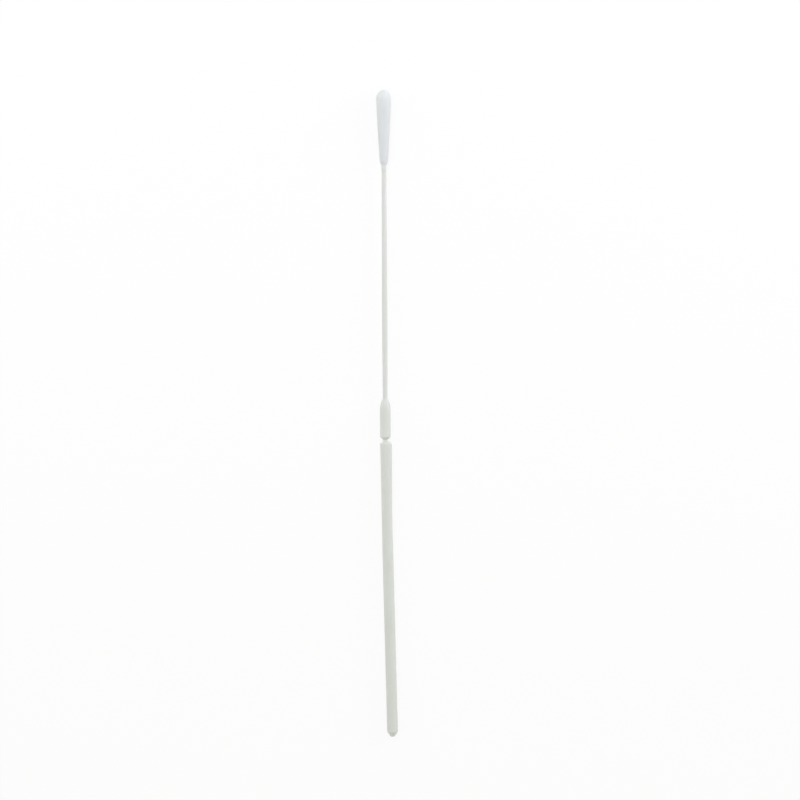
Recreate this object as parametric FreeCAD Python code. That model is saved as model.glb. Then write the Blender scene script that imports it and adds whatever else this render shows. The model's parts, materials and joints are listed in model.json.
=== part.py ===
import FreeCAD, Part
import math
import os

# A flocked specimen swab lying on its side: one moulded stick with a break point, and the
# flocked tip round its far end.
#
# The stick points along +X, with the tip at +X, and lies on the plane z = 0. All sizes are in
# millimetres. Distances along the stick are taken from the tip unless a name says otherwise.

X_AXIS = FreeCAD.Vector(1, 0, 0)
Z_AXIS = FreeCAD.Vector(0, 0, 1)
ORIGIN = FreeCAD.Vector(0, 0, 0)

# Whole swab
overall_length = 150.0
break_distance = 81.25       # tip to the middle of the break neck

# Flocked tip
tip_diameter = 3.5           # across the widest part of the flock
dome_length = 2.2            # from the end of the tip to its widest part
pile_height = 0.48           # length of the flock fibres
flock_length = 17.35         # without the hem
flock_shoulder_length = 1.0  # rounded lower end of the flock
flank_bulge = 0.05           # how far the flock's long side stands proud of a straight taper
hem_length = 1.4             # thin film of adhesive and short fibres below the flock
hem_thickness = 0.13         # where it leaves the flock
hem_edge = 0.04              # thickness left at its lower end

# Thin shaft, slightly fuller along its middle
shaft_tip_diameter = 1.1     # where it enters the flock
shaft_belly_diameter = 1.29
shaft_foot_diameter = 1.12   # where it meets the bullet shaped shoulder
shaft_belly_distance = 55.0

# Coupling between the shaft and the break neck
coupling_diameter = 2.47
coupling_length = 6.4
bullet_length = 2.75
bullet_foot_radius = 1.0     # hollow blend at the foot of the bullet

# Break point
neck_diameter = 1.1
neck_length = 0.3
coupling_bevel_length = 0.65  # groove side on the coupling
handle_bevel_length = 0.5     # groove side on the handle
neck_bend = 0.5               # degrees the handle turns off the shaft's line
neck_step = 0.13              # sideways step from the coupling's line to the handle's

# Handle
shoulder_diameter = 2.73     # just under the break groove
shoulder_round = 0.15
waist_diameter = 2.47
waist_distance = 19.7        # break neck to the middle of the waist
waist_length = 7.0
waist_bend = 0.72            # degrees of bend along the waist
waist_flare_length = 3.5     # from the waist out to the grip
grip_diameter = 2.53
end_cone_length = 1.2
nose_diameter = 0.9
nose_bevel = 0.1

tip_radius = tip_diameter / 2
shaft_tip_radius = shaft_tip_diameter / 2
shaft_belly_radius = shaft_belly_diameter / 2
shaft_foot_radius = shaft_foot_diameter / 2
coupling_radius = coupling_diameter / 2
neck_radius = neck_diameter / 2
shoulder_radius = shoulder_diameter / 2
waist_radius = waist_diameter / 2
grip_radius = grip_diameter / 2
nose_radius = nose_diameter / 2


# Outlines are drawn as (x, radius) points and turned round the X axis.

def line(start, end):
    return Part.makeLine(FreeCAD.Vector(start[0], 0, start[1]), FreeCAD.Vector(end[0], 0, end[1]))


def arc(start, middle, end):
    points = [FreeCAD.Vector(x, 0, radius) for x, radius in (start, middle, end)]
    return Part.Arc(*points).toShape()


def arc_about(centre, start, end):
    """The shorter arc from start to end about centre."""
    radius = math.dist(centre, start)
    towards = (start[0] + end[0] - 2 * centre[0], start[1] + end[1] - 2 * centre[1])
    reach = math.hypot(*towards)
    middle = (centre[0] + towards[0] * radius / reach, centre[1] + towards[1] * radius / reach)
    return arc(start, middle, end)


def bulged(start, end, bulge):
    """An arc from start to end whose middle stands out from the straight line by bulge."""
    run = math.dist(start, end)
    middle_x = (start[0] + end[0]) / 2 + bulge * (end[1] - start[1]) / run
    middle_r = (start[1] + end[1]) / 2 + bulge * abs(end[0] - start[0]) / run
    return arc(start, (middle_x, middle_r), end)


def turned(outline):
    """Solid of revolution about X of an outline whose two ends lie on the axis."""
    first = outline[0].firstVertex().Point
    last = outline[-1].lastVertex().Point
    closed = Part.Wire(outline + [Part.makeLine(last, first)])
    return Part.Face(closed).revolve(ORIGIN, X_AXIS, 360)


def flock_outline(inset):
    """Dome and long side of the tip, moved inwards by inset, from the end of the swab down."""
    radius = tip_radius - inset
    dome_reach = dome_length - inset
    centre_x = break_distance - dome_length
    base_x = break_distance - flock_length + flock_shoulder_length
    base = (base_x, shaft_tip_radius + pile_height - inset)

    # The dome is part of an ellipse, up to where its slope is that of the long side.
    taper = (tip_radius - shaft_tip_radius - pile_height) / (centre_x - base_x)
    past_widest = math.atan(taper * dome_reach / radius)
    flank_x = centre_x - dome_reach * math.sin(past_widest)
    flank_start = (flank_x, radius * math.cos(past_widest))
    end = FreeCAD.Vector(centre_x + dome_reach, 0, 0)
    widest = FreeCAD.Vector(centre_x, 0, radius)
    ellipse = Part.Ellipse(end, widest, FreeCAD.Vector(centre_x, 0, 0))
    dome = Part.ArcOfEllipse(ellipse, 0, math.pi / 2 + past_widest).toShape()
    flank = bulged(flank_start, base, flank_bulge)
    return [dome, flank], base


def tip_half():
    """Core, shaft, coupling and break neck. x = 0 is the middle of the neck, +X the tip."""
    core, core_base = flock_outline(pile_height)
    belly = (break_distance - shaft_belly_distance, shaft_belly_radius)
    groove_top = (neck_length / 2 + coupling_bevel_length, coupling_radius)
    bullet_base = (groove_top[0] + coupling_length, coupling_radius)
    bullet_foot = (bullet_base[0] + bullet_length, shaft_foot_radius)

    # The bullet is a bulging arc that runs smoothly into the hollow one at its foot.
    drop = coupling_radius - shaft_foot_radius
    radii = (bullet_length ** 2 + drop ** 2) / (2 * drop)
    bullet_radius = radii - bullet_foot_radius
    share = bullet_foot_radius / radii
    change = (bullet_foot[0] - share * bullet_length, bullet_foot[1] + share * drop)
    hollow_centre = (bullet_foot[0], bullet_foot[1] + bullet_foot_radius)
    bullet_centre = (bullet_base[0], bullet_base[1] - bullet_radius)

    neck_top = (neck_length / 2, neck_radius)
    neck_foot = (-neck_length / 2, neck_radius)
    return turned(core + [
        line(core_base, belly),
        line(belly, bullet_foot),
        arc_about(hollow_centre, bullet_foot, change),
        arc_about(bullet_centre, change, bullet_base),
        line(bullet_base, groove_top),
        line(groove_top, neck_top),
        line(neck_top, neck_foot),
        line(neck_foot, (neck_foot[0], 0)),
    ])


def ring(radius, x):
    """A circle square to the X axis."""
    return Part.Wire(Part.makeCircle(radius, FreeCAD.Vector(x, 0, 0), X_AXIS))


# The handle has a straight frame of its own, with x = 0 at its groove end. The grip's frame is
# that frame turned by the bend of the waist.
handle_top_x = -neck_length / 2 - handle_bevel_length
handle_start = FreeCAD.Vector(handle_top_x, -neck_step, 0)
handle_frame = FreeCAD.Placement(handle_start, FreeCAD.Rotation(Z_AXIS, neck_bend))

waist_top_x = waist_length / 2 - waist_distance - handle_top_x
bend_centre = FreeCAD.Vector(waist_top_x, -waist_length / math.radians(waist_bend), 0)
waist_turn = FreeCAD.Placement(ORIGIN, FreeCAD.Rotation(Z_AXIS, waist_bend), bend_centre)
grip_frame = handle_frame * waist_turn
grip_end_x = break_distance - overall_length + end_cone_length + waist_length - handle_top_x


def break_bevel():
    """Groove side on the handle. It takes up the step and the bend between the two halves."""
    neck_edge = ring(neck_radius, -neck_length / 2)
    handle_edge = ring(shoulder_radius - shoulder_round, 0)
    handle_edge.Placement = handle_frame
    return Part.makeLoft([neck_edge, handle_edge], True, True)


def upper_handle():
    rim = (0, shoulder_radius - shoulder_round)
    shoulder = (-shoulder_round, shoulder_radius)
    waist_top = (waist_top_x, waist_radius)
    return turned([
        line((0, 0), rim),
        arc_about((shoulder[0], rim[1]), rim, shoulder),
        line(shoulder, waist_top),
        line(waist_top, (waist_top_x, 0)),
    ])


def waist():
    section = Part.Face(ring(waist_radius, waist_top_x))
    return section.revolve(bend_centre, Z_AXIS, waist_bend)


def lower_handle():
    """Flare, grip and conical end, in the grip's frame."""
    start = (waist_top_x, waist_radius)
    grip_top = (waist_top_x - waist_flare_length, grip_radius)
    grip_end = (grip_end_x, grip_radius)
    nose_x = grip_end_x - end_cone_length
    slope = math.atan2(grip_radius - nose_radius, end_cone_length)
    cone_end = (nose_x + nose_bevel * math.cos(slope), nose_radius + nose_bevel * math.sin(slope))
    nose_rim = (nose_x, nose_radius - nose_bevel)
    return turned([
        line((waist_top_x, 0), start),
        line(start, grip_top),
        line(grip_top, grip_end),
        line(grip_end, cone_end),
        line(cone_end, nose_rim),
        line(nose_rim, (nose_x, 0)),
    ])


def moulded_stick():
    bevel = break_bevel()
    upper = upper_handle()
    upper.Placement = handle_frame
    bend = waist()
    bend.Placement = handle_frame
    lower = lower_handle()
    lower.Placement = grip_frame
    return tip_half().fuse([bevel, upper, bend, lower]).removeSplitter()


def flocked_tip(stick):
    """Pile and hem as one coat on the stick's core and on the top of its shaft."""
    outline, base = flock_outline(0)
    flock_end = (break_distance - flock_length, shaft_tip_radius + hem_thickness)
    hem_end = (flock_end[0] - hem_length, shaft_tip_radius + hem_edge)
    drop = base[1] - flock_end[1]
    round_radius = (flock_shoulder_length ** 2 + drop ** 2) / (2 * drop)
    coat = turned(outline + [
        arc_about((base[0], base[1] - round_radius), base, flock_end),
        line(flock_end, hem_end),
        line(hem_end, (hem_end[0], 0)),
    ])
    return coat.cut(stick)


def lying(stick, flock):
    """Placement that lays the swab on z = 0, resting on its tip, its shoulder and its grip's end."""
    tip_centre = FreeCAD.Vector(break_distance - dome_length, 0, 0)
    shoulder_centre = handle_frame.multVec(FreeCAD.Vector(-shoulder_round, 0, 0))
    end_centre = grip_frame.multVec(FreeCAD.Vector(grip_end_x, 0, 0))
    chord = tip_centre - end_centre
    along = FreeCAD.Vector(chord).normalize()
    across = Z_AXIS.cross(along)
    reach = shoulder_centre - end_centre

    # The pitch sets tip and grip down together, and the roll then lowers the bow until the
    # shoulder touches too.
    pitch = math.asin((tip_radius - grip_radius) / chord.Length)
    gap = grip_radius - shoulder_radius + reach.dot(along) * math.sin(pitch)
    bow = reach.dot(across)
    roll = math.asin(max(-1.0, min(1.0, -gap / bow))) if bow else 0.0
    upright = across * math.sin(roll) + Z_AXIS * math.cos(roll)
    up = along * math.sin(pitch) + upright * math.cos(pitch)
    turn = FreeCAD.Rotation(along, ORIGIN, up, "ZXY").inverted()
    whole = Part.makeCompound([stick, flock])
    whole.Placement = FreeCAD.Placement(ORIGIN, turn)
    box = whole.optimalBoundingBox(False, False)
    centre = FreeCAD.Vector(-box.Center.x, -box.Center.y, -box.ZMin)
    return FreeCAD.Placement(centre, turn)


def main():
    stick = moulded_stick()
    flock = flocked_tip(stick)
    rest = lying(stick, flock)
    os.makedirs("parts", exist_ok=True)
    for name, shape in (("moulded_stick", stick), ("flocked_tip", flock)):
        placed = shape.copy()
        placed.Placement = rest * placed.Placement
        placed.exportStep("parts/" + name + ".step")
        print(name, "solids", len(placed.Solids), "volume", round(placed.Volume, 2))


main()
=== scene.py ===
import json
import math

import bpy
import numpy as np
from bpy.props import (
    FloatProperty,
    FloatVectorProperty,
    IntProperty,
    PointerProperty,
)
from mathutils import Matrix, Vector, noise


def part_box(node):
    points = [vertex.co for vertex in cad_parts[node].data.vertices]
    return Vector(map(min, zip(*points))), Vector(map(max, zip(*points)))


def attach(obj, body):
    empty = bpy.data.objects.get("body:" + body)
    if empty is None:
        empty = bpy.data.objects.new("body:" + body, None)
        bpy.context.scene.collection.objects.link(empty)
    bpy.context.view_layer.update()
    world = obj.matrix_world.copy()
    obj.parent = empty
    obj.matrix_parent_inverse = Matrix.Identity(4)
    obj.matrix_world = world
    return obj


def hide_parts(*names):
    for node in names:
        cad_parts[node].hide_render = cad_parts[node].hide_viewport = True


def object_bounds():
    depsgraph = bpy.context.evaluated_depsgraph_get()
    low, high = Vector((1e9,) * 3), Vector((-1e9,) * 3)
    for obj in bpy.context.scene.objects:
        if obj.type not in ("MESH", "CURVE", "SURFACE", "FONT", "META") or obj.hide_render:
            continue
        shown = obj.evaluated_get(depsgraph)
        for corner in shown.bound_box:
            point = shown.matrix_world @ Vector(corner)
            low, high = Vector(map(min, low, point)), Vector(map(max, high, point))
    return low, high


bl_info = {
    "name": "Flocked specimen swab",
    "version": (1, 0, 0),
    "blender": (4, 5, 0),
    "location": "3D View > Sidebar > Swab",
    "description": "Moulded stick, flocked tip and studio for a specimen swab on its packed frame",
    "category": "Object",
}

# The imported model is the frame. All lengths here are metres, and the swab lies along +X on z = 0.
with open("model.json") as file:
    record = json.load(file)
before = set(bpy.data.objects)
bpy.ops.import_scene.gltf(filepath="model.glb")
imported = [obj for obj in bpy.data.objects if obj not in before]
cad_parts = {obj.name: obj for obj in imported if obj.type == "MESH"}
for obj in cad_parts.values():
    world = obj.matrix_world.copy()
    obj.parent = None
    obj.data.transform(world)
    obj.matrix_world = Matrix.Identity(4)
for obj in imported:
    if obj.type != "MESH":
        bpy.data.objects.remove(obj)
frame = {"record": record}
cad_low, cad_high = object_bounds()
flock_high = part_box("flocked_tip")[1]
grip_mount = frame["record"]["mounts"][0]

MM = 0.001
Z_AXIS = Vector((0, 0, 1))
PLAIN_WHITE = {"Color": (1.0, 1.0, 1.0, 1.0), "Strength": 1.0}

# How finely the meshes are cut: steps on each arc of an outline, then the flock's rings, columns
# and the strips that its fibres are spread over.
ROUNDING_STEPS = 4
SHOULDER_STEPS = 6
HOLLOW_STEPS = 10
SKIRT_STEPS = 12
BULLET_STEPS = 14
DOME_POINTS = 28
FLANK_STEPS = 30
BED_RINGS = 260
BED_COLUMNS = 120
FIBRE_STRIPS = 600


# ---------------------------------------------------------------- settings

class SwabStickSettings(bpy.types.PropertyGroup):
    """Sizes and plastic of the moulded stick. Distances are along the stick."""

    overall_length: FloatProperty(
        name="Overall length",
        description="From the end of the flocked tip to the nose of the handle",
        default=cad_high.x - cad_low.x,
        precision=5,
        unit="LENGTH",
    )
    break_distance: FloatProperty(
        name="Break distance",
        description="From the end of the tip to the middle of the break neck",
        default=81.25 * MM,
        precision=5,
        unit="LENGTH",
    )
    shaft_tip_diameter: FloatProperty(
        name="Shaft at the tip",
        description="Thickness of the thin shaft where it enters the flock",
        default=1.10 * MM,
        precision=5,
        unit="LENGTH",
    )
    shaft_belly_diameter: FloatProperty(
        name="Shaft at its belly",
        description="Thickness of the thin shaft where it is fullest",
        default=1.29 * MM,
        precision=5,
        unit="LENGTH",
    )
    shaft_belly_distance: FloatProperty(
        name="Belly distance",
        description="From the end of the tip to the fullest place of the shaft",
        default=55.0 * MM,
        precision=5,
        unit="LENGTH",
    )
    shaft_foot_diameter: FloatProperty(
        name="Shaft at its foot",
        description="Thickness of the thin shaft where it meets the bullet shoulder",
        default=1.12 * MM,
        precision=5,
        unit="LENGTH",
    )
    coupling_diameter: FloatProperty(
        name="Coupling diameter",
        description="Thickness of the short piece between bullet shoulder and break groove",
        default=2.47 * MM,
        precision=5,
        unit="LENGTH",
    )
    coupling_length: FloatProperty(
        name="Coupling length",
        description="Length of the straight part of the coupling",
        default=6.4 * MM,
        precision=5,
        unit="LENGTH",
    )
    bullet_length: FloatProperty(
        name="Bullet length",
        description="Length of the bullet shoulder between coupling and shaft",
        default=2.75 * MM,
        precision=5,
        unit="LENGTH",
    )
    bullet_foot_radius: FloatProperty(
        name="Bullet foot radius",
        description="Radius of the hollow blend from the shaft into the bullet",
        default=1.0 * MM,
        precision=5,
        unit="LENGTH",
    )
    neck_diameter: FloatProperty(
        name="Neck diameter",
        description="Thickness left at the bottom of the break groove",
        default=1.1 * MM,
        precision=5,
        unit="LENGTH",
    )
    neck_length: FloatProperty(
        name="Neck length",
        description="Length of the thinnest part of the break point",
        default=0.3 * MM,
        precision=5,
        unit="LENGTH",
    )
    coupling_bevel_length: FloatProperty(
        name="Coupling bevel",
        description="Length of the groove's side on the coupling",
        default=0.65 * MM,
        precision=5,
        unit="LENGTH",
    )
    handle_bevel_length: FloatProperty(
        name="Handle bevel",
        description="Length of the groove's side on the handle",
        default=0.5 * MM,
        precision=5,
        unit="LENGTH",
    )
    neck_bend: FloatProperty(
        name="Neck bend",
        description="Angle by which the handle turns off the shaft's line at the break point",
        default=math.radians(0.5),
        precision=3,
        subtype="ANGLE",
    )
    neck_step: FloatProperty(
        name="Neck step",
        description="Sideways step from the coupling's line to the handle's",
        default=0.13 * MM,
        precision=5,
        unit="LENGTH",
    )
    shoulder_diameter: FloatProperty(
        name="Shoulder diameter",
        description="Thickness of the handle just under the break groove",
        default=2.73 * MM,
        precision=5,
        unit="LENGTH",
    )
    shoulder_round: FloatProperty(
        name="Shoulder round",
        description="Radius of the shoulder's rim at the groove",
        default=0.15 * MM,
        precision=5,
        unit="LENGTH",
    )
    waist_diameter: FloatProperty(
        name="Waist diameter",
        description="Thickness of the handle at its slight waist",
        default=2.47 * MM,
        precision=5,
        unit="LENGTH",
    )
    waist_distance: FloatProperty(
        name="Waist distance",
        description="From the break neck to the middle of the waist",
        default=19.7 * MM,
        precision=5,
        unit="LENGTH",
    )
    waist_length: FloatProperty(
        name="Waist length",
        description="Length of the waist",
        default=7.0 * MM,
        precision=5,
        unit="LENGTH",
    )
    waist_bend: FloatProperty(
        name="Waist bend",
        description="Angle by which the handle bends along its waist",
        default=math.radians(0.72),
        precision=3,
        subtype="ANGLE",
    )
    waist_flare_length: FloatProperty(
        name="Waist flare",
        description="Length over which the waist widens into the grip",
        default=3.5 * MM,
        precision=5,
        unit="LENGTH",
    )
    grip_diameter: FloatProperty(
        name="Grip diameter",
        description="Thickness of the handle's long round grip",
        default=2 * grip_mount["dims"]["r_mm"] * MM,
        precision=5,
        unit="LENGTH",
    )
    end_cone_length: FloatProperty(
        name="End cone",
        description="Length of the cone at the free end",
        default=1.2 * MM,
        precision=5,
        unit="LENGTH",
    )
    nose_diameter: FloatProperty(
        name="Nose diameter",
        description="Width of the blunt end of the cone",
        default=0.9 * MM,
        precision=5,
        unit="LENGTH",
    )
    edge_round: FloatProperty(
        name="Edge round",
        description="Softness of the moulding's edges",
        default=0.06 * MM,
        precision=5,
        unit="LENGTH",
    )
    seam_height: FloatProperty(
        name="Seam height",
        description="How far the mould's parting line stands up on both sides",
        default=0.008 * MM,
        precision=6,
        unit="LENGTH",
    )
    seam_width: FloatProperty(
        name="Seam width",
        description="Half the width of the parting line at its foot",
        default=0.07 * MM,
        precision=6,
        unit="LENGTH",
    )
    sink_depth: FloatProperty(
        name="Sink depth",
        description="Depth of the slow hollows that shrinkage leaves in the surface",
        default=0.006 * MM,
        precision=6,
        unit="LENGTH",
    )
    sink_length: FloatProperty(
        name="Sink length",
        description="Size of those hollows along the stick",
        default=9.0 * MM,
        precision=5,
        unit="LENGTH",
    )
    gate_width: FloatProperty(
        name="Gate width",
        description="Width of the stub that the mould's gate leaves on the nose",
        default=0.34 * MM,
        precision=6,
        unit="LENGTH",
    )
    gate_depth: FloatProperty(
        name="Gate depth",
        description="Depth of the shallow recess round that stub",
        default=0.06 * MM,
        precision=6,
        unit="LENGTH",
    )
    ring_step: FloatProperty(
        name="Ring step",
        description="Distance between the mesh's rings on straight stretches",
        default=0.45 * MM,
        precision=5,
        unit="LENGTH",
    )
    side_columns: IntProperty(
        name="Columns per side",
        description="Mesh columns on each half between the two parting lines",
        default=38,
        min=8,
        max=90,
    )
    colour: FloatVectorProperty(
        name="Plastic colour",
        description="Colour of the natural, unpigmented plastic",
        default=(0.70, 0.71, 0.69),
        min=0.0,
        max=1.0,
        subtype="COLOR",
    )
    # Darker than the plastic colour: painted shade on the thin shaft, together with its weaker
    # tint.
    thin_painted_shade_colour: FloatVectorProperty(
        name="Thin plastic colour",
        description="Colour of the plastic in the thin shaft, where its tint is weaker",
        default=(0.675, 0.665, 0.685),
        min=0.0,
        max=1.0,
        subtype="COLOR",
    )
    shade_colour: FloatVectorProperty(
        name="Plastic shade",
        description="Colour of the slightly denser, yellower clouds in the plastic",
        default=(0.67, 0.68, 0.645),
        min=0.0,
        max=1.0,
        subtype="COLOR",
    )
    roughness: FloatProperty(
        name="Roughness",
        description="Middle roughness of the satin surface",
        default=0.42,
        min=0.0,
        max=1.0,
        subtype="FACTOR",
    )
    roughness_spread: FloatProperty(
        name="Roughness spread",
        description="How far the roughness strays to both sides of the middle",
        default=0.06,
        min=0.0,
        max=0.3,
        subtype="FACTOR",
    )
    light_depth: FloatProperty(
        name="Light depth",
        description="How deep light spreads in the slightly translucent plastic",
        default=0.8 * MM,
        precision=5,
        unit="LENGTH",
    )


class SwabFlockSettings(bpy.types.PropertyGroup):
    """Sizes and fibres of the flocked tip."""

    tip_diameter: FloatProperty(
        name="Tip diameter",
        description="Width across the fullest part of the flock",
        default=3.5 * MM,
        precision=5,
        unit="LENGTH",
    )
    dome_length: FloatProperty(
        name="Dome length",
        description="From the end of the tip to its fullest part",
        default=2.2 * MM,
        precision=5,
        unit="LENGTH",
    )
    flock_length: FloatProperty(
        name="Flock length",
        description="Length of the flocked part without its hem",
        default=17.35 * MM,
        precision=5,
        unit="LENGTH",
    )
    shoulder_length: FloatProperty(
        name="Flock shoulder",
        description="Length of the rounded lower end of the flock",
        default=1.0 * MM,
        precision=5,
        unit="LENGTH",
    )
    flank_bulge: FloatProperty(
        name="Flank bulge",
        description="How far the flock's long side stands proud of a straight taper",
        default=0.05 * MM,
        min=0.001 * MM,
        precision=5,
        unit="LENGTH",
    )
    hem_length: FloatProperty(
        name="Hem length",
        description="Length of the thin film of adhesive and short fibres below the flock",
        default=1.4 * MM,
        precision=5,
        unit="LENGTH",
    )
    hem_thickness: FloatProperty(
        name="Hem thickness",
        description="Thickness of that film where it leaves the flock",
        default=0.13 * MM,
        precision=6,
        unit="LENGTH",
    )
    hem_edge: FloatProperty(
        name="Hem edge",
        description="Thickness left at the film's lower end",
        default=0.04 * MM,
        precision=6,
        unit="LENGTH",
    )
    pile_height: FloatProperty(
        name="Pile height",
        description="Length of the nylon fibres",
        default=0.48 * MM,
        precision=5,
        unit="LENGTH",
    )
    fringe: FloatProperty(
        name="Fringe",
        description="Difference between the longest and the shortest fibres of a tuft",
        default=0.05 * MM,
        precision=5,
        unit="LENGTH",
    )
    bed_depth: FloatProperty(
        name="Bed depth",
        description="How far under the longest fibre tips the pile closes into a solid bed",
        default=0.09 * MM,
        precision=5,
        unit="LENGTH",
    )
    tuft_size: FloatProperty(
        name="Tuft size",
        description="Width of the tufts that neighbouring fibres gather into",
        default=0.5 * MM,
        precision=5,
        unit="LENGTH",
    )
    tuft_depth: FloatProperty(
        name="Tuft depth",
        description="How far the pile drops between two tufts",
        default=0.04 * MM,
        precision=5,
        unit="LENGTH",
    )
    tuft_pull: FloatProperty(
        name="Tuft pull",
        description="How strongly the fibres lean towards the middle of their tuft",
        default=0.35,
        min=0.0,
        max=1.0,
        subtype="FACTOR",
    )
    fibre_count: IntProperty(
        name="Fibres",
        description="Number of fibres round the whole tip",
        default=39000,
        min=100,
        max=60000,
    )
    fibre_batches: IntProperty(
        name="Fibre batches",
        description="Number of pieces that the fibres are shared out to",
        default=3,
        min=1,
        max=6,
    )
    fibre_thickness: FloatProperty(
        name="Fibre thickness",
        description="Thickness of one nylon fibre",
        default=0.028 * MM,
        precision=6,
        unit="LENGTH",
    )
    fibre_lean: FloatProperty(
        name="Fibre lean",
        description="Typical angle of a fibre off the upright",
        default=math.radians(9.0),
        precision=2,
        subtype="ANGLE",
    )
    seed: IntProperty(
        name="Seed",
        description="Seed of the fibres' scatter",
        default=7,
        min=0,
    )
    colour: FloatVectorProperty(
        name="Flock colour",
        description="Colour of the bluish white fibres",
        default=(0.902, 0.906, 0.932),
        min=0.0,
        max=1.0,
        subtype="COLOR",
    )
    # Darker than the flock colour: painted shade towards the dome.
    dome_painted_shade_colour: FloatVectorProperty(
        name="Dome colour",
        description="Colour of the fibres at the dome, where the pile is fullest",
        default=(0.875, 0.885, 0.905),
        min=0.0,
        max=1.0,
        subtype="COLOR",
    )
    film_colour: FloatVectorProperty(
        name="Film colour",
        description="Colour of the adhesive film of the hem, over the plastic",
        default=(0.70, 0.71, 0.715),
        min=0.0,
        max=1.0,
        subtype="COLOR",
    )
    # Also the colour of the whole bed: painted shade deep in the pile. Among the fibres it is the
    # darker end of random clouds.
    shade_colour: FloatVectorProperty(
        name="Flock shade",
        description="Colour of the fibres where the pile is thin",
        default=(0.82, 0.825, 0.85),
        min=0.0,
        max=1.0,
        subtype="COLOR",
    )
    light_depth: FloatProperty(
        name="Light depth",
        description="How deep light spreads in the pile",
        default=0.2 * MM,
        precision=6,
        unit="LENGTH",
    )


class SwabStageSettings(bpy.types.PropertyGroup):
    """Floor, light and camera."""

    floor_size: FloatProperty(
        name="Floor size",
        description="Side of the square floor",
        default=1.6,
        unit="LENGTH",
    )
    floor_colour: FloatVectorProperty(
        name="Floor colour",
        description="Colour of the plain floor",
        default=(0.93, 0.93, 0.93),
        min=0.0,
        max=1.0,
        subtype="COLOR",
    )
    floor_white: FloatProperty(
        name="Floor white",
        description="Share of plain white that the camera sees in place of the lit floor",
        default=0.85,
        min=0.0,
        max=1.0,
        subtype="FACTOR",
    )
    surround_colour: FloatVectorProperty(
        name="Surround colour",
        description="Colour of the light tent all round",
        default=(0.985, 1.0, 0.915),
        min=0.0,
        max=1.0,
        subtype="COLOR",
    )
    surround_strength: FloatProperty(
        name="Surround strength",
        description="Strength of the light tent",
        default=0.71,
        min=0.0,
    )
    key_power: FloatProperty(
        name="Key power",
        description="Power of the soft lamp on the right of the tip",
        default=0.39,
        min=0.0,
        unit="POWER",
    )
    key_colour: FloatVectorProperty(
        name="Key colour",
        description="Colour of the soft lamp on the right of the tip",
        default=(0.94, 0.92, 1.0),
        min=0.0,
        max=1.0,
        subtype="COLOR",
    )
    key_place: FloatVectorProperty(
        name="Key place",
        description="Place of that lamp, from the middle of the swab",
        default=(0.16, -0.30, 0.10),
        subtype="TRANSLATION",
        unit="LENGTH",
    )
    front_power: FloatProperty(
        name="Front power",
        description="Power of the soft lamp beyond the tip",
        default=0.27,
        min=0.0,
        unit="POWER",
    )
    front_colour: FloatVectorProperty(
        name="Front colour",
        description="Colour of the soft lamp beyond the tip",
        default=(0.72, 0.82, 0.95),
        min=0.0,
        max=1.0,
        subtype="COLOR",
    )
    front_place: FloatVectorProperty(
        name="Front place",
        description="Place of that lamp, from the middle of the swab",
        default=(0.17, 0.045, 0.29),
        subtype="TRANSLATION",
        unit="LENGTH",
    )
    fill_power: FloatProperty(
        name="Fill power",
        description="Power of the soft lamp on the left of the tip",
        default=0.16,
        min=0.0,
        unit="POWER",
    )
    fill_colour: FloatVectorProperty(
        name="Fill colour",
        description="Colour of the soft lamp on the left of the tip",
        default=(1.0, 0.90, 0.88),
        min=0.0,
        max=1.0,
        subtype="COLOR",
    )
    fill_place: FloatVectorProperty(
        name="Fill place",
        description="Place of that lamp, from the middle of the swab",
        default=(0.17, 0.26, 0.11),
        subtype="TRANSLATION",
        unit="LENGTH",
    )
    lamp_size: FloatProperty(
        name="Lamp size",
        description="Side of a soft lamp's square face",
        default=0.14,
        unit="LENGTH",
    )
    camera_height: FloatProperty(
        name="Camera height",
        description="Height of the camera over the middle of the swab",
        default=0.5152,
        precision=4,
        unit="LENGTH",
    )
    camera_aim: FloatVectorProperty(
        name="Camera aim",
        description="Where the camera looks, from the middle of the swab",
        default=(3.06 * MM, -2.91 * MM),
        size=2,
        precision=5,
        subtype="XYZ",
        unit="LENGTH",
    )
    camera_roll: FloatProperty(
        name="Camera roll",
        description="Turn of the picture about the line of sight",
        default=math.radians(0.82),
        subtype="ANGLE",
    )
    camera_lens: FloatProperty(
        name="Camera lens",
        description="Focal length in millimetres",
        default=100.0,
        min=1.0,
        unit="CAMERA",
    )


# ---------------------------------------------------------------- outlines
# An outline is a list of (x, radius) points that is turned round the swab's centreline. Along it,
# x is 0 at the middle of the break neck and grows towards the tip.

def arc_points(centre, start, end, count):
    """Points along the shorter arc from start to end about centre, both ends included."""
    radius = math.dist(centre, start)
    first = math.atan2(start[1] - centre[1], start[0] - centre[0])
    last = math.atan2(end[1] - centre[1], end[0] - centre[0])
    sweep = (last - first + math.pi) % math.tau - math.pi
    points = []
    for i in range(count + 1):
        angle = first + sweep * i / count
        points.append((centre[0] + radius * math.cos(angle), centre[1] + radius * math.sin(angle)))
    return points


def bulged_points(start, end, bulge, count):
    """Points along an arc whose middle stands out from the straight line by bulge."""
    run = math.dist(start, end)
    radius = (run * run / 4 + bulge * bulge) / (2 * bulge)
    out = ((end[1] - start[1]) / run, (start[0] - end[0]) / run)
    centre_x = (start[0] + end[0]) / 2 + out[0] * (bulge - radius)
    centre_r = (start[1] + end[1]) / 2 + out[1] * (bulge - radius)
    return arc_points((centre_x, centre_r), start, end, count)


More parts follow.
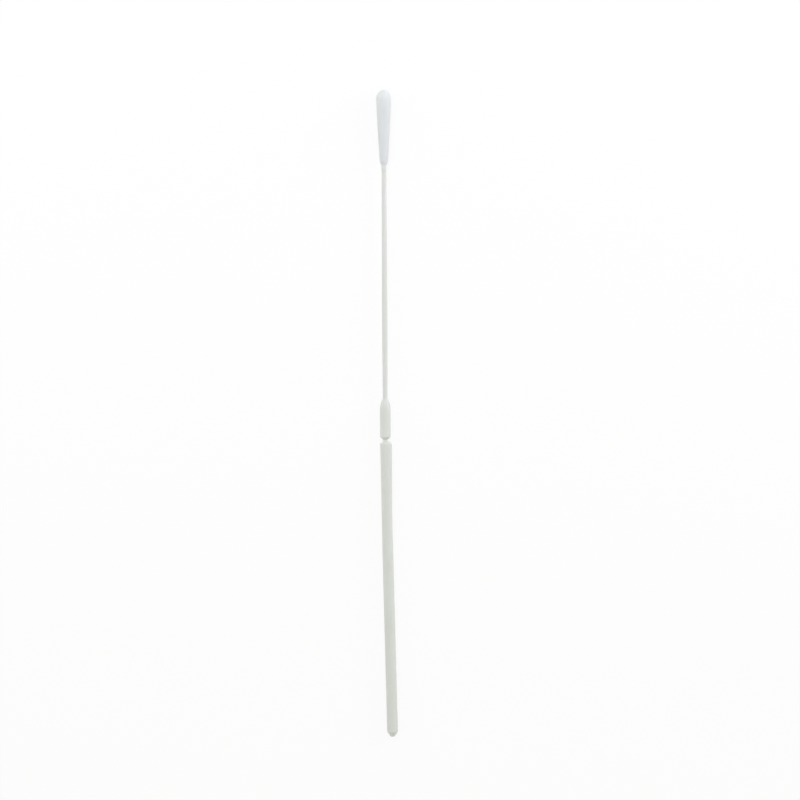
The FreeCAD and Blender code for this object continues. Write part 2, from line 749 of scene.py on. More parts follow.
def rounded(corners):
    """Outline through (x, radius, rounding) corners, each replaced by an arc of its rounding."""
    longest_share = 0.45
    points = []
    for i, (x, r, rounding) in enumerate(corners):
        here = Vector((x, r))
        if rounding <= 0 or i in (0, len(corners) - 1):
            points.append((x, r))
            continue
        back = Vector(corners[i - 1][:2]) - here
        ahead = Vector(corners[i + 1][:2]) - here
        half = back.angle(ahead) / 2
        longest = longest_share * min(back.length, ahead.length)
        reach = min(rounding / math.tan(half), longest)
        middle = (back.normalized() + ahead.normalized()).normalized()
        centre = here + middle * (reach / math.cos(half))
        start = here + back.normalized() * reach
        end = here + ahead.normalized() * reach
        points += arc_points(centre, start, end, ROUNDING_STEPS)
    return points


def refined(points, step):
    """The same outline with points added so that none is further than step from the next."""
    result = [points[0]]
    for start, end in zip(points, points[1:]):
        count = max(1, math.ceil(math.dist(start, end) / step))
        for i in range(1, count + 1):
            share = i / count
            x = start[0] + (end[0] - start[0]) * share
            r = start[1] + (end[1] - start[1]) * share
            result.append((x, r))
    return result


def flock_outline(stick, flock, inset):
    """Dome and long side of the tip, moved inwards by inset, from the end of the swab down."""
    radius = flock.tip_diameter / 2 - inset
    reach = flock.dome_length - inset
    centre_x = stick.break_distance - flock.dome_length
    base_x = stick.break_distance - flock.flock_length + flock.shoulder_length
    base_radius = stick.shaft_tip_diameter / 2 + flock.pile_height

    # The dome is part of an ellipse, up to where its slope is that of the long side.
    taper = (flock.tip_diameter / 2 - base_radius) / (centre_x - base_x)
    last_angle = math.pi / 2 + math.atan(taper * reach / radius)
    dome = []
    for angle in np.linspace(0.0, last_angle, DOME_POINTS):
        dome.append((centre_x + reach * math.cos(angle), radius * math.sin(angle)))
    base = (base_x, base_radius - inset)
    flank = bulged_points(dome[-1], base, flock.flank_bulge, FLANK_STEPS)
    return dome + flank[1:]


def shaft_radius(stick, flock, x):
    """Radius of the thin shaft at x, between the flock's base and the belly."""
    top_x = stick.break_distance - flock.flock_length + flock.shoulder_length
    belly_x = stick.break_distance - stick.shaft_belly_distance
    share = (top_x - x) / (top_x - belly_x)
    return (stick.shaft_tip_diameter * (1 - share) + stick.shaft_belly_diameter * share) / 2


def coat_outline(stick, flock):
    """Outside of the flock and its hem, from the end of the swab to where it ends on the shaft."""
    points = flock_outline(stick, flock, 0.0)
    base = points[-1]
    shaft = stick.shaft_tip_diameter / 2
    end = (stick.break_distance - flock.flock_length, shaft + flock.hem_thickness)
    drop = base[1] - end[1]
    radius = (flock.shoulder_length ** 2 + drop ** 2) / (2 * drop)
    points += arc_points((base[0], base[1] - radius), base, end, SKIRT_STEPS)[1:]
    return points + [(end[0] - flock.hem_length, shaft + flock.hem_edge)]


def bullet_outline(stick):
    """Bullet shoulder: a hollow arc from the shaft that runs smoothly into a bulging one."""
    foot = (bullet_base_x(stick) + stick.bullet_length, stick.shaft_foot_diameter / 2)
    base = (bullet_base_x(stick), stick.coupling_diameter / 2)
    drop = base[1] - foot[1]
    radii = (stick.bullet_length ** 2 + drop ** 2) / (2 * drop)
    share = stick.bullet_foot_radius / radii
    change = (foot[0] - share * stick.bullet_length, foot[1] + share * drop)
    hollow_centre = (foot[0], foot[1] + stick.bullet_foot_radius)
    bulge_centre = (base[0], base[1] - radii + stick.bullet_foot_radius)
    hollow = arc_points(hollow_centre, foot, change, HOLLOW_STEPS)
    return hollow + arc_points(bulge_centre, change, base, BULLET_STEPS)[1:]


def shoulder_outline(stick):
    """Rounded rim of the handle's shoulder, from the break groove's bevel."""
    shoulder = stick.shoulder_diameter / 2
    rim = (handle_top_x(stick), shoulder - stick.shoulder_round)
    edge = (handle_top_x(stick) - stick.shoulder_round, shoulder)
    return arc_points((edge[0], rim[1]), rim, edge, SHOULDER_STEPS)


def nose_corners(stick):
    """Corners of the cone, its lip, and the recess with the small stub that the gate leaves."""
    nose = stick.nose_diameter / 2
    nose_x = stick.break_distance - stick.overall_length
    recess_x = nose_x + stick.gate_depth
    lip = 0.82 * nose
    recess = 0.72 * nose
    stub_edge_x = nose_x + 0.3 * stick.gate_depth
    stub_middle_x = nose_x + 0.4 * stick.gate_depth
    stub_foot = 0.55 * stick.gate_width
    stub_top = 0.45 * stick.gate_width
    return [
        (nose_x + stick.end_cone_length, stick.grip_diameter / 2, 3 * stick.edge_round),
        (nose_x, nose, 2 * stick.edge_round),
        (nose_x, lip, 0.0),
        (recess_x, recess, 0.0),
        (recess_x, stub_foot, 0.0),
        (stub_edge_x, stub_top, 0.0),
        (stub_middle_x, 0.0, 0.0),
    ]


def stick_outline(stick, flock):
    """Outside of the stick, from the core under the flock to the nose."""
    soft = stick.edge_round
    waist_soft = 20 * soft
    groove_top = stick.neck_length / 2 + stick.coupling_bevel_length
    waist_top = stick.waist_length / 2 - stick.waist_distance
    waist_end = waist_top - stick.waist_length
    waist = stick.waist_diameter / 2
    belly = (stick.break_distance - stick.shaft_belly_distance, stick.shaft_belly_diameter / 2)
    upper = flock_outline(stick, flock, flock.pile_height) + [belly] + bullet_outline(stick)
    corners = [(x, r, 0.0) for x, r in upper]
    corners += [
        (groove_top, stick.coupling_diameter / 2, soft),
        (stick.neck_length / 2, stick.neck_diameter / 2, soft),
        (-stick.neck_length / 2, stick.neck_diameter / 2, soft),
    ]
    corners += [(x, r, 0.0) for x, r in shoulder_outline(stick)]
    corners += [
        (waist_top, waist, waist_soft),
        (waist_end, waist, waist_soft),
        (waist_end - stick.waist_flare_length, stick.grip_diameter / 2, waist_soft),
    ]
    return rounded(corners + nose_corners(stick))


# ---------------------------------------------------------------- centreline and rest

def handle_top_x(stick):
    """Where the handle begins, at the outer edge of the break groove."""
    return -stick.neck_length / 2 - stick.handle_bevel_length


def bullet_base_x(stick):
    """Where the coupling ends and the bullet shoulder begins."""
    return stick.neck_length / 2 + stick.coupling_bevel_length + stick.coupling_length


def spine(stick, x):
    """Frame of the slightly bowed centreline at x, with its own X pointing to the tip."""
    neck_foot = -stick.neck_length / 2
    if x >= neck_foot:
        return Matrix.Translation((x, 0, 0))

    handle_top = handle_top_x(stick)
    handle_start = Vector((handle_top, -stick.neck_step, 0))
    if x > handle_top:
        share = (neck_foot - x) / stick.handle_bevel_length
        place = Vector((neck_foot, 0, 0)).lerp(handle_start, share)
        return Matrix.Translation(place) @ Matrix.Rotation(stick.neck_bend * share, 4, "Z")

    handle = Matrix.Translation(handle_start) @ Matrix.Rotation(stick.neck_bend, 4, "Z")
    waist_top = stick.waist_length / 2 - stick.waist_distance
    if x >= waist_top:
        return handle @ Matrix.Translation((x - handle_top, 0, 0))

    along_waist = min(waist_top - x, stick.waist_length)
    bend = stick.waist_bend * along_waist / stick.waist_length
    bend_radius = stick.waist_length / stick.waist_bend
    pivot = Matrix.Translation((waist_top - handle_top, -bend_radius, 0))
    rim = Matrix.Translation((0, bend_radius, 0))
    past_waist = Matrix.Translation((x - waist_top + along_waist, 0, 0))
    return handle @ pivot @ Matrix.Rotation(bend, 4, "Z") @ rim @ past_waist


def resting_place(stick, flock):
    """Matrix that lays the swab on tip, shoulder and grip's end, with its dome in the CAD's box."""
    tip_radius = flock.tip_diameter / 2
    shoulder_radius = stick.shoulder_diameter / 2
    grip_radius = stick.grip_diameter / 2
    grip_end_x = stick.break_distance - stick.overall_length + stick.end_cone_length
    tip_centre = Vector((stick.break_distance - flock.dome_length, 0, 0))
    shoulder_centre = spine(stick, handle_top_x(stick) - stick.shoulder_round).translation
    end_centre = spine(stick, grip_end_x).translation
    chord = tip_centre - end_centre
    along = chord.normalized()
    across = Z_AXIS.cross(along)
    reach = shoulder_centre - end_centre

    pitch = math.asin((tip_radius - grip_radius) / chord.length)
    gap = grip_radius - shoulder_radius + reach.dot(along) * math.sin(pitch)
    roll = math.asin(max(-1.0, min(1.0, -gap / reach.dot(across))))
    upright = across * math.sin(roll) + Z_AXIS * math.cos(roll)
    up = along * math.sin(pitch) + upright * math.cos(pitch)
    forward = (along - up * along.dot(up)).normalized()
    turn = Matrix((forward, up.cross(forward), up)).to_4x4()

    widest_x = flock_high.x - flock.dome_length
    place = Vector((widest_x, cad_low.y + tip_radius, cad_low.z + tip_radius))
    return Matrix.Translation(place - turn @ tip_centre) @ turn


def placed(points, matrix):
    """An array of points, its last axis being x, y, z, moved by a matrix."""
    grid = np.asarray(points, float)
    turn = np.array(matrix.to_3x3())
    return grid @ turn.T + np.array(matrix.translation)


# ---------------------------------------------------------------- meshes

def skinned(name, rings, first_pole, last_pole):
    """Closed mesh over rings of points, an array of (ring, column, 3), capped by two poles."""
    ring_count, column_count = rings.shape[:2]
    points = np.vstack([rings.reshape(-1, 3), first_pole, last_pole])
    first = ring_count * column_count
    last = first + 1
    faces = []
    for ring in range(ring_count - 1):
        here = ring * column_count
        ahead = here + column_count
        for column in range(column_count):
            beside = (column + 1) % column_count
            faces.append((here + column, ahead + column, ahead + beside, here + beside))
    end = first - column_count
    for column in range(column_count):
        beside = (column + 1) % column_count
        faces.append((first, column, beside))
        faces.append((last, end + beside, end + column))
    return finished_mesh(name, points, faces)


def finished_mesh(name, points, faces):
    """Smooth shaded object from points and faces, in the row's frame."""
    mesh = bpy.data.meshes.new(name)
    mesh.from_pydata(points.tolist(), [], faces)
    mesh.validate()
    mesh.shade_smooth()
    piece = bpy.data.objects.new(name, mesh)
    bpy.context.scene.collection.objects.link(piece)
    return piece


def seam_columns(radius, stick):
    """Angles of a ring's columns, gathered at the parting lines, and how much seam each carries."""
    widest_foot = 0.3
    flank_place = 0.35
    flank_share = 0.45
    foot = min(stick.seam_width / radius, widest_foot)
    flank = flank_place * foot
    side = list(np.linspace(foot, math.pi - foot, stick.side_columns + 1)[1:-1])
    half = [0.0, flank, foot] + side + [math.pi - foot, math.pi - flank]
    half_share = [1.0, flank_share, 0.0] + [0.0] * len(side) + [0.0, flank_share]
    angles = np.array(half + [math.pi + angle for angle in half])
    return angles, np.array(half_share * 2)


def stick_rings(stick, outline):
    """Rings of the stick's surface in its own frame. All detail is worked inwards."""
    deepest_share = 0.1
    rings = []
    for x, r in outline:
        angles, seam = seam_columns(r, stick)
        sink = [
            0.5 + 0.5 * noise.noise(Vector((x / stick.sink_length, math.cos(a), math.sin(a))))
            for a in angles
        ]
        depth = stick.seam_height * (1 - seam) + stick.sink_depth * np.array(sink)
        radii = r - np.minimum(depth, deepest_share * r)
        ring = np.stack([np.zeros_like(angles), radii * np.cos(angles), radii * np.sin(angles)], 1)
        rings.append(placed(ring, spine(stick, x)))
    return np.array(rings)


def tuft(point, size):
    """Fullness of the pile at a point, 1 in the middle of a tuft, and the tuft's centre."""
    edge_width = 0.45
    swell_size = 3.2 * size
    swell_share = 0.35
    distances, centres = noise.voronoi(point / size)
    edge = min(1.0, (distances[1] - distances[0]) / edge_width)
    swell = 0.5 + 0.5 * noise.noise(point / swell_size)
    fullness = (1 - swell_share) * edge * (2 - edge) + swell_share * swell
    return fullness, centres[0] * size


def coat_samples(stick, flock, count):
    """Outline points of the flock evenly spread along it, with outward normals and pile depth."""
    outline = np.array(coat_outline(stick, flock))
    runs = np.linalg.norm(np.diff(outline, axis=0), axis=1)
    travel = np.concatenate([[0.0], np.cumsum(runs)])
    places = np.linspace(0.0, travel[-1], count)
    x = np.interp(places, travel, outline[:, 0])
    r = np.interp(places, travel, outline[:, 1])
    ahead = np.gradient(np.stack([x, r], 1), axis=0)
    ahead /= np.linalg.norm(ahead, axis=1)[:, None]
    normal_x = ahead[:, 1]
    normal_r = -ahead[:, 0]
    base_x = stick.break_distance - flock.flock_length + flock.shoulder_length
    least_slope = 0.2
    room = (r - shaft_radius(stick, flock, x)) / np.maximum(normal_r, least_slope)
    depth = np.where(x < base_x, np.minimum(room, flock.pile_height), flock.pile_height)
    return x, r, normal_x, normal_r, depth


def bed_rings(stick, flock):
    """Rings of the dense bed that the fibres stand in, out to the shaft and back over the core."""
    deepest_share = 0.6
    x, r, normal_x, normal_r, depth = coat_samples(stick, flock, BED_RINGS)
    angles = np.arange(BED_COLUMNS) * math.tau / BED_COLUMNS
    rings = []
    for i in range(1, len(x)):
        ring = []
        for angle in angles:
            around = Vector((math.cos(angle), math.sin(angle)))
            outside = Vector((x[i], r[i] * around.x, r[i] * around.y))
            fullness, _ = tuft(outside, flock.tuft_size)
            inset = flock.bed_depth + flock.tuft_depth * (1 - fullness)
            inset = min(inset, deepest_share * depth[i])
            out_r = r[i] - normal_r[i] * inset
            ring.append((x[i] - normal_x[i] * inset, out_r * around.x, out_r * around.y))
        rings.append(ring)
    clearance = 0.01 * MM
    core = flock_outline(stick, flock, flock.pile_height - clearance)
    hem_end = (x[-1], shaft_radius(stick, flock, x[-1]) + clearance)
    for core_x, core_r in [hem_end] + core[:0:-1]:
        rings.append([(core_x, core_r * math.cos(a), core_r * math.sin(a)) for a in angles])
    first_pole = (x[0] - flock.bed_depth, 0.0, 0.0)
    last_pole = (core[0][0], 0.0, 0.0)
    return np.array(rings), first_pole, last_pole


def fibre_fields(stick, flock, rest):
    """Roots, directions and lengths of the fibres, in the row's frame, and their random source."""
    random = np.random.default_rng(flock.seed)
    count = flock.fibre_count
    x, r, normal_x, normal_r, depth = coat_samples(stick, flock, FIBRE_STRIPS)

    # Each fibre stands on an equal share of the surface, counted from the dome down.
    area = np.concatenate([[0.0], np.cumsum(math.tau * (r[1:] + r[:-1]) / 2)])
    covered = area[x > stick.break_distance - flock.flock_length - flock.bed_depth]
    within_share = random.uniform(0.1, 0.9, count)
    places = (np.arange(count) + within_share) / count * covered[-1]
    fibre_x, fibre_r, fibre_nx, fibre_nr, fibre_depth = (
        np.interp(places, area, values) for values in (x, r, normal_x, normal_r, depth)
    )
    golden_angle = math.pi * (3 - math.sqrt(5))
    angle_scatter = 0.02
    angles = np.arange(count) * golden_angle + random.normal(0.0, angle_scatter, count)
    cos = np.cos(angles)
    sin = np.sin(angles)
    outside = np.stack([fibre_x, fibre_r * cos, fibre_r * sin], 1)
    normals = np.stack([fibre_nx, fibre_nr * cos, fibre_nr * sin], 1)

    fullness = np.empty(count)
    centres = np.empty((count, 3))
    for i, point in enumerate(outside):
        fullness[i], centres[i] = tuft(Vector(point), flock.tuft_size)

    lean = random.normal(0.0, math.tan(flock.fibre_lean), (count, 3))
    pull = (centres - outside) / flock.tuft_size * flock.tuft_pull
    sideways = lean + pull
    sideways -= normals * np.sum(sideways * normals, 1)[:, None]
    directions = normals + sideways
    directions /= np.linalg.norm(directions, axis=1)[:, None]

    root_depth = 0.06 * MM
    shortest = 0.02 * MM
    hidden = np.minimum(fibre_depth, flock.bed_depth + flock.tuft_depth + root_depth)
    drop = flock.tuft_depth * (1 - fullness) + random.uniform(0.0, flock.fringe, count)
    upright = np.sum(directions * normals, 1)
    lengths = np.maximum(hidden - np.minimum(drop, hidden / 2), shortest) * upright
    roots = outside - normals * hidden[:, None] - sideways * (0.5 * lengths)[:, None]
    turn = np.array(rest.to_3x3()).T
    return placed(roots, rest), directions @ turn, lengths, random


def fibre_mesh(name, roots, directions, lengths, thickness, random):
    """Closed three sided fibres with a slight bend, as one mesh."""
    bend_share = 0.07
    most_along_x = 0.9
    # Places along a fibre, each with its share of the thickness and of the bend.
    levels = ((0.0, 1.0, 0.0), (0.55, 0.95, 1.0), (1.0, 0.7, 0.0))
    count = len(roots)
    corner_count = 3 * len(levels)
    across_x = np.abs(directions[:, :1]) < most_along_x
    helper = np.where(across_x, [[1.0, 0.0, 0.0]], [[0.0, 1.0, 0.0]])
    side = np.cross(directions, helper)
    side /= np.linalg.norm(side, axis=1)[:, None]
    front = np.cross(directions, side)
    twist = random.uniform(0.0, math.tau, count)
    sway = (side * np.cos(twist)[:, None] + front * np.sin(twist)[:, None]) * bend_share
    points = np.empty((count, corner_count, 3))
    for level, (share, width, bend) in enumerate(levels):
        middle = roots + (directions * share + sway * bend) * lengths[:, None]
        for corner in range(3):
            angle = twist + corner * math.tau / 3
            across = side * np.cos(angle)[:, None] + front * np.sin(angle)[:, None]
            points[:, 3 * level + corner] = middle + across * (width * thickness / 2)

    # Faces of one fibre: its two ends, then its three sides from each level to the next.
    pattern = [(2, 1, 0), (6, 7, 8)]
    for low in (0, 3):
        for corner in range(3):
            beside = (corner + 1) % 3
            pattern.append((low + corner, low + beside, low + 3 + beside, low + 3 + corner))
    firsts = range(0, count * corner_count, corner_count)
    faces = [tuple(first + corner for corner in face) for first in firsts for face in pattern]
    return finished_mesh(name, points.reshape(-1, 3), faces)


# ---------------------------------------------------------------- shader groups

def new_group(name, inputs, outputs):
    """Empty shader group with named float inputs, each with its default, and float outputs."""
    group = bpy.data.node_groups.new(name, "ShaderNodeTree")
    for label, default in inputs.items():
        socket = group.interface.new_socket(label, in_out="INPUT", socket_type="NodeSocketFloat")
        socket.default_value = default
    for label in outputs:
        group.interface.new_socket(label, in_out="OUTPUT", socket_type="NodeSocketFloat")
    return group


def add_node(tree, kind, inputs=None, **settings):
    """New node with its settings, and inputs that are linked if given a socket or else set."""
    node = tree.nodes.new(kind)
    for label, value in settings.items():
        setattr(node, label, value)
    for label, value in (inputs or {}).items():
        if isinstance(value, bpy.types.NodeSocket):
            tree.links.new(value, node.inputs[label])
        else:
            node.inputs[label].default_value = value
    return node


def math_value(tree, operation, *values, **settings):
    """Value socket worked out from others by a Math node."""
    inputs = dict(enumerate(values))
    node = add_node(tree, "ShaderNodeMath", inputs, operation=operation, **settings)
    return node.outputs[0]


def cloud_group():
    """Soft clouds, stretched along the swab, as a mask between 0 and 1."""
    name = "Soft clouds"
    if name in bpy.data.node_groups:
        return bpy.data.node_groups[name]
    group = new_group(name, {"Size": 0.004, "Stretch": 1.0, "Contrast": 1.0}, ["Mask"])
    given = add_node(group, "NodeGroupInput").outputs
    place = add_node(group, "ShaderNodeTexCoord").outputs["Object"]
    size = given["Size"]
    long = math_value(group, "MULTIPLY", size, given["Stretch"])
    scale = {"X": long, "Y": size, "Z": size}
    scale = add_node(group, "ShaderNodeCombineXYZ", scale).outputs[0]
    spread = {0: place, 1: scale}
    spread = add_node(group, "ShaderNodeVectorMath", spread, operation="DIVIDE").outputs[0]
    clouds = {"Vector": spread, "Scale": 1.0, "Detail": 3.0, "Roughness": 0.55}
    clouds = add_node(group, "ShaderNodeTexNoise", clouds).outputs[0]
    centred = math_value(group, "SUBTRACT", clouds, 0.5)
    steep = math_value(group, "MULTIPLY_ADD", centred, given["Contrast"], 0.5, use_clamp=True)
    add_node(group, "NodeGroupOutput", {"Mask": steep})
    return group


def grain_group():
    """Fine grain as a height, mixed with grain five times as coarse by a share."""
    name = "Fine grain"
    if name in bpy.data.node_groups:
        return bpy.data.node_groups[name]
    group = new_group(name, {"Size": 0.0001, "Coarse share": 0.3}, ["Height"])
    given = add_node(group, "NodeGroupInput").outputs
    place = add_node(group, "ShaderNodeTexCoord").outputs["Object"]
    grains = []
    for fineness, roughness in ((1.0, 0.6), (0.2, 0.5)):
        scale = math_value(group, "DIVIDE", fineness, given["Size"])
        grain = {"Vector": place, "Scale": scale, "Detail": 2.0, "Roughness": roughness}
        grains.append(add_node(group, "ShaderNodeTexNoise", grain).outputs[0])
    mixed = {"Factor": given["Coarse share"], "A": grains[0], "B": grains[1]}
    height = add_node(group, "ShaderNodeMix", mixed, data_type="FLOAT").outputs[0]
    add_node(group, "NodeGroupOutput", {"Height": height})
    return group


def stretch_group():
    """Mask that rises from 0 to 1 over a stretch of the swab, given by its two places along X."""
    name = "Stretch of the swab"
    if name in bpy.data.node_groups:
        return bpy.data.node_groups[name]
    group = new_group(name, {"Start": 0.0, "End": 0.001}, ["Mask"])
    given = add_node(group, "NodeGroupInput").outputs
    place = add_node(group, "ShaderNodeTexCoord").outputs["Object"]
    along = add_node(group, "ShaderNodeSeparateXYZ", {0: place}).outputs["X"]
    ends = {"Value": along, "From Min": given["Start"], "From Max": given["End"]}
    rise = add_node(group, "ShaderNodeMapRange", ends).outputs[0]
    add_node(group, "NodeGroupOutput", {"Mask": rise})
    return group


# ---------------------------------------------------------------- materials

def new_material(name):
    """Material with an empty node tree."""
    material = bpy.data.materials.new(name)
    material.use_nodes = True
    material.node_tree.nodes.clear()
    return material


def clouded_colour(tree, mask, colour, shade_colour):
    """Colour socket that runs from colour, a value or a socket, to shade_colour with the mask."""
    # Where a Mix node has its colour sockets.
    first_colour = 6
    second_colour = 7
    result = 2
    start = colour if isinstance(colour, bpy.types.NodeSocket) else (*colour, 1.0)
    ends = {0: mask, first_colour: start, second_colour: (*shade_colour, 1.0)}
    return add_node(tree, "ShaderNodeMix", ends, data_type="RGBA").outputs[result]


def placed_group(tree, group, **values):
    """Output socket of a shader group that is placed in a material with its own values."""
    inputs = {label.replace("_", " ").capitalize(): value for label, value in values.items()}
    return add_node(tree, "ShaderNodeGroup", inputs, node_tree=group).outputs[0]


def spread_value(tree, mask, low, high):
    """Value socket that runs from low to high with the mask."""
    ends = {"Value": mask, "To Min": low, "To Max": high}
    return add_node(tree, "ShaderNodeMapRange", ends).outputs[0]


def bumped_normal(tree, height, strength, distance):
    """Normal socket of a surface with a height worked into it."""
    bump = {"Strength": strength, "Distance": distance, "Height": height}
    return add_node(tree, "ShaderNodeBump", bump).outputs["Normal"]


def add_surface(tree, inputs):
    """The material's own Principled surface, joined to its output."""
    surface = add_node(tree, "ShaderNodeBsdfPrincipled", inputs)
    add_node(tree, "ShaderNodeOutputMaterial", {"Surface": surface.outputs["BSDF"]})


def plastic_material(stick):
    """Satin, slightly translucent natural plastic with soft clouds, a fine moulded grain and
    painted shade on the thin shaft.
    """
    material = new_material("natural_plastic")
    tree = material.node_tree
    clouds = placed_group(tree, cloud_group(), size=2.2 * MM, stretch=3.0, contrast=2.2)
    wear = placed_group(tree, cloud_group(), size=0.9 * MM, stretch=5.0, contrast=2.5)
    grain = placed_group(tree, grain_group(), size=0.05 * MM, coarse_share=0.4)

    # Past the bullet shoulder the plastic is thin, its tint weaker and its colour darker: painted
    # shade on the thin shaft.
    bullet_x = flock_high.x - stick.break_distance + bullet_base_x(stick)
    ends = {"start": bullet_x, "end": bullet_x + stick.bullet_length}
    thin = placed_group(tree, stretch_group(), **ends)
    plastic_with_shaft_shade = clouded_colour(tree, thin, stick.colour, stick.thin_painted_shade_colour)
    smoothest = stick.roughness - stick.roughness_spread
    roughest = stick.roughness + stick.roughness_spread
    surface = {
        "Base Color": clouded_colour(tree, clouds, plastic_with_shaft_shade, stick.shade_colour),
        "Roughness": spread_value(tree, wear, smoothest, roughest),
        "IOR": 1.5,
        "Subsurface Weight": 0.5,
        "Subsurface Radius": (1.0, 1.0, 1.0),
        "Subsurface Scale": stick.light_depth,
        "Normal": bumped_normal(tree, grain, strength=0.25, distance=0.004 * MM),
    }
    add_surface(tree, surface)
    return material


def flock_material(name, flock, colour, grain_depth):
    """Matt nylon pile with random clouds of a darker tone, and painted shade towards the dome."""
    material = new_material(name)
    tree = material.node_tree
    clouds = placed_group(tree, cloud_group(), size=1.1 * MM, stretch=1.3, contrast=2.4)
    grain = placed_group(tree, grain_group(), size=0.03 * MM, coarse_share=0.5)

    # The painted shade of the dome rises from one and a half dome lengths below its widest place to
    # mid dome.
    widest_x = flock_high.x - flock.dome_length
    half_dome = flock.dome_length / 2
    ends = {"start": widest_x - 3 * half_dome, "end": widest_x + half_dome}
    dome = placed_group(tree, stretch_group(), **ends)
    pile_colour = clouded_colour(tree, clouds, colour, flock.shade_colour)
    surface = {
        "Base Color": clouded_colour(tree, dome, pile_colour, flock.dome_painted_shade_colour),
        "Roughness": spread_value(tree, clouds, low=0.75, high=0.9),
        "IOR": 1.53,
        "Sheen Weight": 0.6,
        "Sheen Roughness": 0.5,
        "Subsurface Weight": 0.5,
        "Subsurface Radius": (1.0, 1.0, 1.0),
        "Subsurface Scale": flock.light_depth,
        "Normal": bumped_normal(tree, grain, strength=0.6, distance=grain_depth),
    }
    add_surface(tree, surface)
    return material


def film_material(stick, flock):
    """Thin film of clear adhesive, which takes the colour of the plastic under it."""
    material = new_material("adhesive_film")
    tree = material.node_tree
    clouds = placed_group(tree, cloud_group(), size=0.4 * MM, stretch=1.5, contrast=2.0)
    grain = placed_group(tree, grain_group(), size=0.04 * MM, coarse_share=0.6)
    surface = {
        "Base Color": clouded_colour(tree, clouds, flock.film_colour, stick.shade_colour),
        "Roughness": spread_value(tree, clouds, low=0.35, high=0.55),
        "IOR": 1.48,
        "Normal": bumped_normal(tree, grain, strength=0.3, distance=0.003 * MM),
    }
    add_surface(tree, surface)
    return material


def seen_directly(tree):
    """Socket that is 1 for what the camera sees, also in a gloss or through glass."""
    path = add_node(tree, "ShaderNodeLightPath").outputs
    share = path["Is Camera Ray"]
    for ray in ("Is Glossy Ray", "Is Transmission Ray"):
        share = math_value(tree, "MAXIMUM", share, path[ray])
    return share


def floor_material(stage):
    """Plain pale floor that looks near white and keeps its soft shadow."""
    material = new_material("studio_floor")
    tree = material.node_tree
    lit = {"Base Color": (*stage.floor_colour, 1.0), "Roughness": 0.9, "Specular IOR Level": 0.0}
    lit = add_node(tree, "ShaderNodeBsdfPrincipled", lit)
    white = add_node(tree, "ShaderNodeEmission", PLAIN_WHITE)
    share = math_value(tree, "MULTIPLY", seen_directly(tree), stage.floor_white)
    mix = {0: share, 1: lit.outputs[0], 2: white.outputs[0]}
    mix = add_node(tree, "ShaderNodeMixShader", mix)
    add_node(tree, "ShaderNodeOutputMaterial", {"Surface": mix.outputs[0]})
    return material


def surround_world(stage):
    """Light tent all round, seen as plain white."""
    world = bpy.data.worlds.new("light_tent")
    world.use_nodes = True
    tree = world.node_tree
    tree.nodes.clear()
    light = {"Color": (*stage.surround_colour, 1.0), "Strength": stage.surround_strength}
    light = add_node(tree, "ShaderNodeBackground", light)
    white = add_node(tree, "ShaderNodeBackground", PLAIN_WHITE)
    mix = {0: seen_directly(tree), 1: light.outputs[0], 2: white.outputs[0]}
    mix = add_node(tree, "ShaderNodeMixShader", mix)
    add_node(tree, "ShaderNodeOutputWorld", {"Surface": mix.outputs[0]})
    return world


# ---------------------------------------------------------------- operators

class SWAB_OT_add_stage(bpy.types.Operator):
    """Add the floor, the light tent, the soft lamps and the camera over the swab"""

    bl_idname = "swab.add_stage"
    bl_label = "Stage"

    def execute(self, context):
        stage = context.scene.swab_stage
        scene = context.scene
        scene.view_settings.view_transform = "Standard"
        scene.world = surround_world(stage)
        self.add_floor(scene, stage)
        for name in ("key", "front", "fill"):
            self.add_lamp(scene, stage, name)
        self.add_camera(scene, stage)
        return {"FINISHED"}

    def add_floor(self, scene, stage):
        """Square floor that the swab lies on."""
        half = stage.floor_size / 2
        corners = [(-half, -half, 0), (half, -half, 0), (half, half, 0), (-half, half, 0)]
        mesh = bpy.data.meshes.new("studio_floor")
        mesh.from_pydata(corners, [], [(0, 1, 2, 3)])
        mesh.materials.append(floor_material(stage))
        floor = bpy.data.objects.new("studio_floor", mesh)
        floor.location.z = cad_low.z
        scene.collection.objects.link(floor)

    def add_lamp(self, scene, stage, name):
        """Square soft lamp that faces the middle of the swab, with the settings of its name."""
        light = bpy.data.lights.new(f"soft_{name}", "AREA")
        light.shape = "SQUARE"
        light.size = stage.lamp_size
        light.energy = getattr(stage, f"{name}_power")
        light.color = getattr(stage, f"{name}_colour")
        lamp = bpy.data.objects.new(light.name, light)
        middle = (cad_low + cad_high) / 2
        lamp.location = middle + Vector(getattr(stage, f"{name}_place"))
        lamp.rotation_euler = (middle - lamp.location).to_track_quat("-Z", "Y").to_euler()
        scene.collection.objects.link(lamp)

    def add_camera(self, scene, stage):
        """Camera that looks straight down, with the tip towards the top of its view."""
        data = bpy.data.cameras.new("camera")
        data.lens = stage.camera_lens
        data.clip_start = 0.01
        camera = bpy.data.objects.new("camera", data)
        middle = (cad_low + cad_high) / 2
        camera.location = middle + Vector((*stage.camera_aim, stage.camera_height))
        camera.rotation_euler = (0, 0, -math.pi / 2 - stage.camera_roll)
        scene.collection.objects.link(camera)
        scene.camera = camera


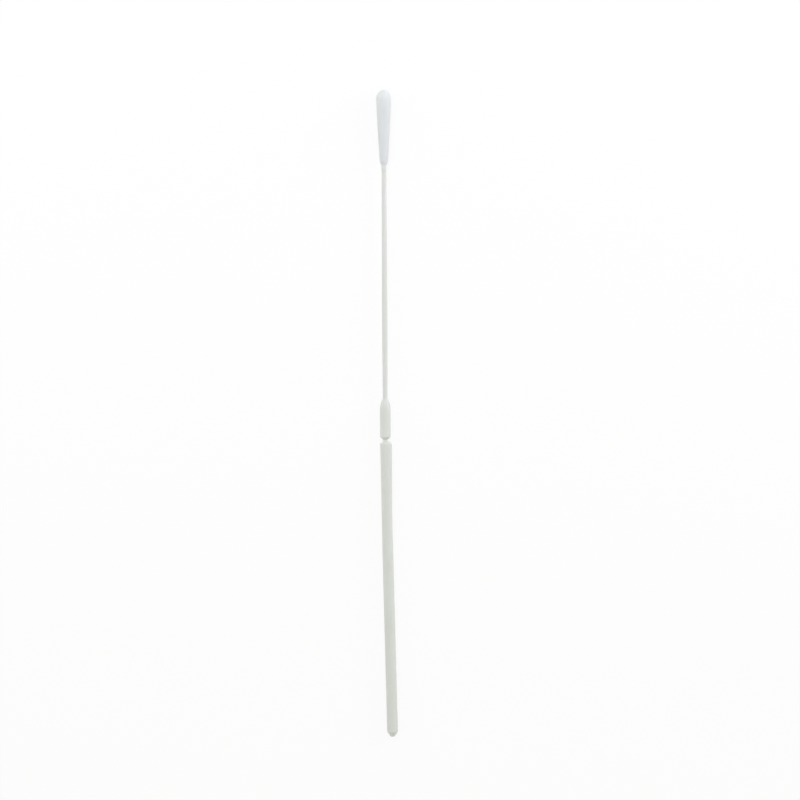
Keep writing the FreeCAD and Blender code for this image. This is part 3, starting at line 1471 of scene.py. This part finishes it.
class SWAB_OT_add_stick(bpy.types.Operator):
    """Add the moulded stick with its break point, parting lines and gate scar"""

    bl_idname = "swab.add_stick"
    bl_label = "Moulded stick"

    def execute(self, context):
        stick = context.scene.swab_stick
        flock = context.scene.swab_flock
        rest = resting_place(stick, flock)
        outline = refined(stick_outline(stick, flock), stick.ring_step)
        first_pole = placed([outline[0][0], 0.0, 0.0], rest)
        last_pole = placed(spine(stick, outline[-1][0]).translation, rest)
        rings = placed(stick_rings(stick, outline[1:-1]), rest)
        piece = skinned("stick_moulding", rings, first_pole, last_pole)
        piece.data.materials.append(plastic_material(stick))
        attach(piece, "root")
        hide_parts("moulded_stick")
        return {"FINISHED"}


class SWAB_OT_add_flock_bed(bpy.types.Operator):
    """Add the dense bed of the flock, gathered into small tufts, and the film below it"""

    bl_idname = "swab.add_flock_bed"
    bl_label = "Flock bed"

    def execute(self, context):
        stick = context.scene.swab_stick
        flock = context.scene.swab_flock
        rest = resting_place(stick, flock)
        rings, first_pole, last_pole = bed_rings(stick, flock)
        poles = (placed(pole, rest) for pole in (first_pole, last_pole))
        piece = skinned("flock_bed", placed(rings, rest), *poles)
        # The bed takes the darker flock shade colour: painted shade deep in the pile.
        material = flock_material("flock_bed", flock, flock.shade_colour, 0.02 * MM)
        piece.data.materials.append(material)
        piece.data.materials.append(film_material(stick, flock))
        pile_end = flock_high.x - flock.flock_length
        for face in piece.data.polygons:
            if face.center.x < pile_end:
                face.material_index = 1
        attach(piece, "root")
        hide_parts("flocked_tip")
        return {"FINISHED"}


class SWAB_OT_add_flock_fibres(bpy.types.Operator):
    """Add the short upright nylon fibres of the flock"""

    bl_idname = "swab.add_flock_fibres"
    bl_label = "Flock fibres"

    def execute(self, context):
        stick = context.scene.swab_stick
        flock = context.scene.swab_flock
        rest = resting_place(stick, flock)
        roots, directions, lengths, random = fibre_fields(stick, flock, rest)
        material = flock_material("nylon_fibres", flock, flock.colour, 0.002 * MM)
        for batch in range(flock.fibre_batches):
            share = slice(batch, None, flock.fibre_batches)
            name = f"flock_fibres_{batch + 1}"
            fibres = (roots[share], directions[share], lengths[share])
            piece = fibre_mesh(name, *fibres, flock.fibre_thickness, random)
            piece.data.materials.append(material)
            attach(piece, "root")
        return {"FINISHED"}


# ---------------------------------------------------------------- panel and registration

class SWAB_PT_sidebar(bpy.types.Panel):
    """Sidebar panel with the swab's pieces, sizes and colours"""

    bl_idname = "SWAB_PT_sidebar"
    bl_label = "Specimen swab"
    bl_space_type = "VIEW_3D"
    bl_region_type = "UI"
    bl_category = "Swab"

    def draw(self, context):
        layout = self.layout
        for operator in OPERATORS:
            layout.operator(operator.bl_idname)
        for name in SETTINGS:
            settings = getattr(context.scene, name)
            box = layout.box()
            for label in settings.bl_rna.properties.keys():
                if label not in ("rna_type", "name"):
                    box.prop(settings, label)


SETTINGS = {
    "swab_stick": SwabStickSettings,
    "swab_flock": SwabFlockSettings,
    "swab_stage": SwabStageSettings,
}
OPERATORS = (
    SWAB_OT_add_stage,
    SWAB_OT_add_stick,
    SWAB_OT_add_flock_bed,
    SWAB_OT_add_flock_fibres,
)


def register():
    for cls in (*SETTINGS.values(), *OPERATORS, SWAB_PT_sidebar):
        bpy.utils.register_class(cls)
    for name, settings in SETTINGS.items():
        setattr(bpy.types.Scene, name, PointerProperty(type=settings))


def unregister():
    for name in SETTINGS:
        delattr(bpy.types.Scene, name)
    for cls in (SWAB_PT_sidebar, *OPERATORS, *SETTINGS.values()):
        bpy.utils.unregister_class(cls)


def main():
    register()
    bpy.ops.swab.add_stage()
    bpy.ops.swab.add_stick()
    bpy.ops.swab.add_flock_bed()
    bpy.ops.swab.add_flock_fibres()


if __name__ == "__main__":
    main()
